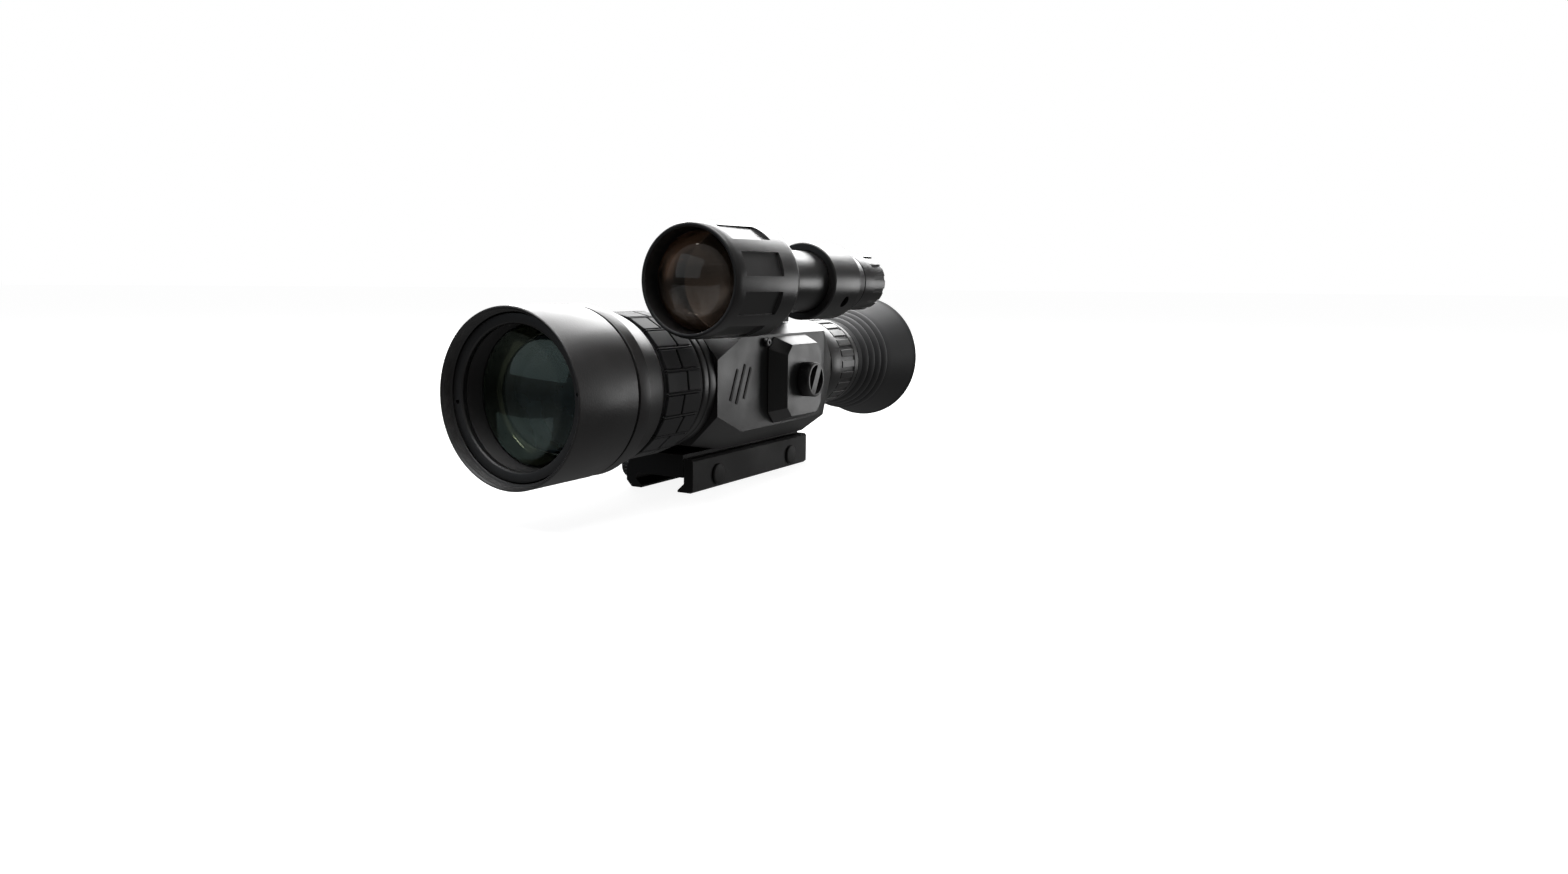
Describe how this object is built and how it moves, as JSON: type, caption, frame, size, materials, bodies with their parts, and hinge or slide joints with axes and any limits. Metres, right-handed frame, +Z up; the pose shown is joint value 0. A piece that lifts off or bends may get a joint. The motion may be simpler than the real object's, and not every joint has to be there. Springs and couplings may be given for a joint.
{
  "type": "digital riflescope with infrared torch",
  "caption": "Day and night digital scope with a wide objective, focus ring, flared rubber eyecup, side battery box, rail clamp and a tube torch held above it.",
  "frame": {"origin": "centre of the seat face that rests on top of the rail, midway along the clamp", "axes": "+Z up through the optical axis, +Y back towards the eyecup along the optical axis, +X towards the battery box and the torch"},
  "size_m": [0.0918, 0.2817, 0.1063],
  "materials": {
    "body_polymer": "fine-grained satin black moulding",
    "anodised_alloy": "bead-blasted and anodised satin black",
    "soft_rubber": "matte moulded rubber",
    "coated_glass": "polished glass with a blue-green coating",
    "dark_steel": "blackened steel",
    "circuit_board": "green solder mask",
    "cell_wrap": "smooth shrink wrap"
  },
  "bodies": {
    "body": {"accessory_rail": "anodised_alloy", "base_screw_front": "dark_steel", "base_screw_rear": "dark_steel", "bell_seal": "soft_rubber", "cell_1": "cell_wrap", "cell_2": "cell_wrap", "cell_3": "cell_wrap", "cell_4": "cell_wrap", "contact_board": "circuit_board", "cover_screw_1": "dark_steel", "cover_screw_2": "dark_steel", "cover_screw_3": "dark_steel", "cover_screw_4": "dark_steel", "display_board": "circuit_board", "display_panel": "coated_glass", "eyecup": "soft_rubber", "eyepiece_tube": "anodised_alloy", "field_lens": "coated_glass", "front_collar": "anodised_alloy", "housing": "body_polymer", "image_sensor": "coated_glass", "led_emitter": "dark_steel", "lens_retaining_ring": "anodised_alloy", "lens_tube": "anodised_alloy", "main_board": "circuit_board", "mount_base": "anodised_alloy", "objective_bell": "anodised_alloy", "objective_lens": "coated_glass", "sensor_board": "circuit_board", "sensor_mount": "anodised_alloy", "set_screw": "dark_steel", "side_cover": "body_polymer", "torch_cell": "cell_wrap", "torch_clamp": "anodised_alloy", "torch_tube": "anodised_alloy", "usb_port": "dark_steel"},
    "focus_ring": {"focus_ring": "soft_rubber"},
    "focus_cell": {"focus_cell": "anodised_alloy", "focus_lens": "coated_glass"},
    "diopter_ring": {"diopter_ring": "anodised_alloy"},
    "eye_lens": {"eye_lens": "coated_glass"},
    "battery_door": {"battery_door": "body_polymer"},
    "door_latch": {"door_latch": "body_polymer"},
    "clamp_jaw": {"clamp_jaw": "anodised_alloy", "clamp_bolt_front": "dark_steel", "clamp_bolt_rear": "dark_steel"},
    "clamp_nut_front": {"clamp_nut_front": "dark_steel"},
    "clamp_nut_rear": {"clamp_nut_rear": "dark_steel"},
    "torch_head": {"torch_head": "anodised_alloy", "torch_lens": "coated_glass"},
    "tail_cap": {"tail_cap": "anodised_alloy"},
    "tail_button": {"tail_button": "soft_rubber"},
    "usb_flap": {"usb_flap": "soft_rubber"},
    "key_power": {"key_power": "soft_rubber"},
    "key_up": {"key_up": "soft_rubber"},
    "key_down": {"key_down": "soft_rubber"},
    "key_left": {"key_left": "soft_rubber"},
    "key_right": {"key_right": "soft_rubber"}
  },
  "joints": [
    {"name": "focus_turn", "type": "hinge", "parent": "body", "child": "focus_ring", "pos_m": [0, -0.0708, 0.0384], "axis": [0, 1, 0], "range_deg": [-135, 135]},
    {"name": "focus_travel", "type": "slide", "parent": "body", "child": "focus_cell", "axis": [0, 1, 0], "range_m": [-0.00605, 0.00605]},
    {"name": "diopter_turn", "type": "hinge", "parent": "body", "child": "diopter_ring", "pos_m": [0, 0.082, 0.0384], "axis": [0, 1, 0], "range_deg": [-90, 90]},
    {"name": "diopter_travel", "type": "slide", "parent": "body", "child": "eye_lens", "axis": [0, 1, 0], "range_m": [-0.00205, 0.00205]},
    {"name": "door_lift", "type": "slide", "parent": "body", "child": "battery_door", "axis": [1, 0, 0], "range_m": [0, 0.045]},
    {"name": "latch_turn", "type": "hinge", "parent": "battery_door", "child": "door_latch", "pos_m": [0.0353, 0.0108, 0.0368], "axis": [1, 0, 0], "range_deg": [0, 90]},
    {"name": "nut_front_turn", "type": "hinge", "parent": "body", "child": "clamp_nut_front", "pos_m": [-0.0226, -0.0296, -0.0004], "axis": [-1, 0, 0], "range_deg": [0, 720]},
    {"name": "nut_rear_turn", "type": "hinge", "parent": "body", "child": "clamp_nut_rear", "pos_m": [-0.0226, 0.0327, -0.0004], "axis": [-1, 0, 0], "range_deg": [0, 721]},
    {"name": "jaw_slide", "type": "slide", "parent": "body", "child": "clamp_jaw", "axis": [1, 0, 0], "range_m": [0, 0.00205]},
    {"name": "torch_focus_turn", "type": "hinge", "parent": "body", "child": "torch_head", "pos_m": [0.0384, -0.06, 0.0785], "axis": [0, 1, 0], "range_deg": [0, 180]},
    {"name": "tail_cap_turn", "type": "hinge", "parent": "body", "child": "tail_cap", "pos_m": [0.0384, 0.048, 0.0785], "axis": [0, 1, 0], "range_deg": [0, 720]},
    {"name": "tail_button_press", "type": "slide", "parent": "tail_cap", "child": "tail_button", "axis": [0, -1, 0], "range_m": [0, 0.0012], "stiffness_N_per_m": 500},
    {"name": "usb_flap_hinge", "type": "hinge", "parent": "body", "child": "usb_flap", "pos_m": [-0.0276, -0.011, 0.023], "axis": [0, -1, 0], "range_deg": [0, 90]},
    {"name": "key_power_press", "type": "slide", "parent": "body", "child": "key_power", "axis": [0, 0, -1], "range_m": [0, 0.0008], "stiffness_N_per_m": 700},
    {"name": "key_up_press", "type": "slide", "parent": "body", "child": "key_up", "axis": [0, 0, -1], "range_m": [0, 0.0008], "stiffness_N_per_m": 700},
    {"name": "key_down_press", "type": "slide", "parent": "body", "child": "key_down", "axis": [0, 0, -1], "range_m": [0, 0.0008], "stiffness_N_per_m": 700},
    {"name": "key_left_press", "type": "slide", "parent": "body", "child": "key_left", "axis": [0, 0, -1], "range_m": [0, 0.0008], "stiffness_N_per_m": 700},
    {"name": "key_right_press", "type": "slide", "parent": "body", "child": "key_right", "axis": [0, 0, -1], "range_m": [0, 0.0008], "stiffness_N_per_m": 700}
  ],
  "couplings": [
    {"joint": "focus_travel", "follows": "focus_turn", "m_per_rad": 0.0025465},
    {"joint": "diopter_travel", "follows": "diopter_turn", "m_per_rad": 0.0012732},
    {"joint": "nut_rear_turn", "follows": "nut_front_turn", "ratio": 1},
    {"joint": "jaw_slide", "follows": "nut_front_turn", "m_per_rad": 0.00015915}
  ]
}
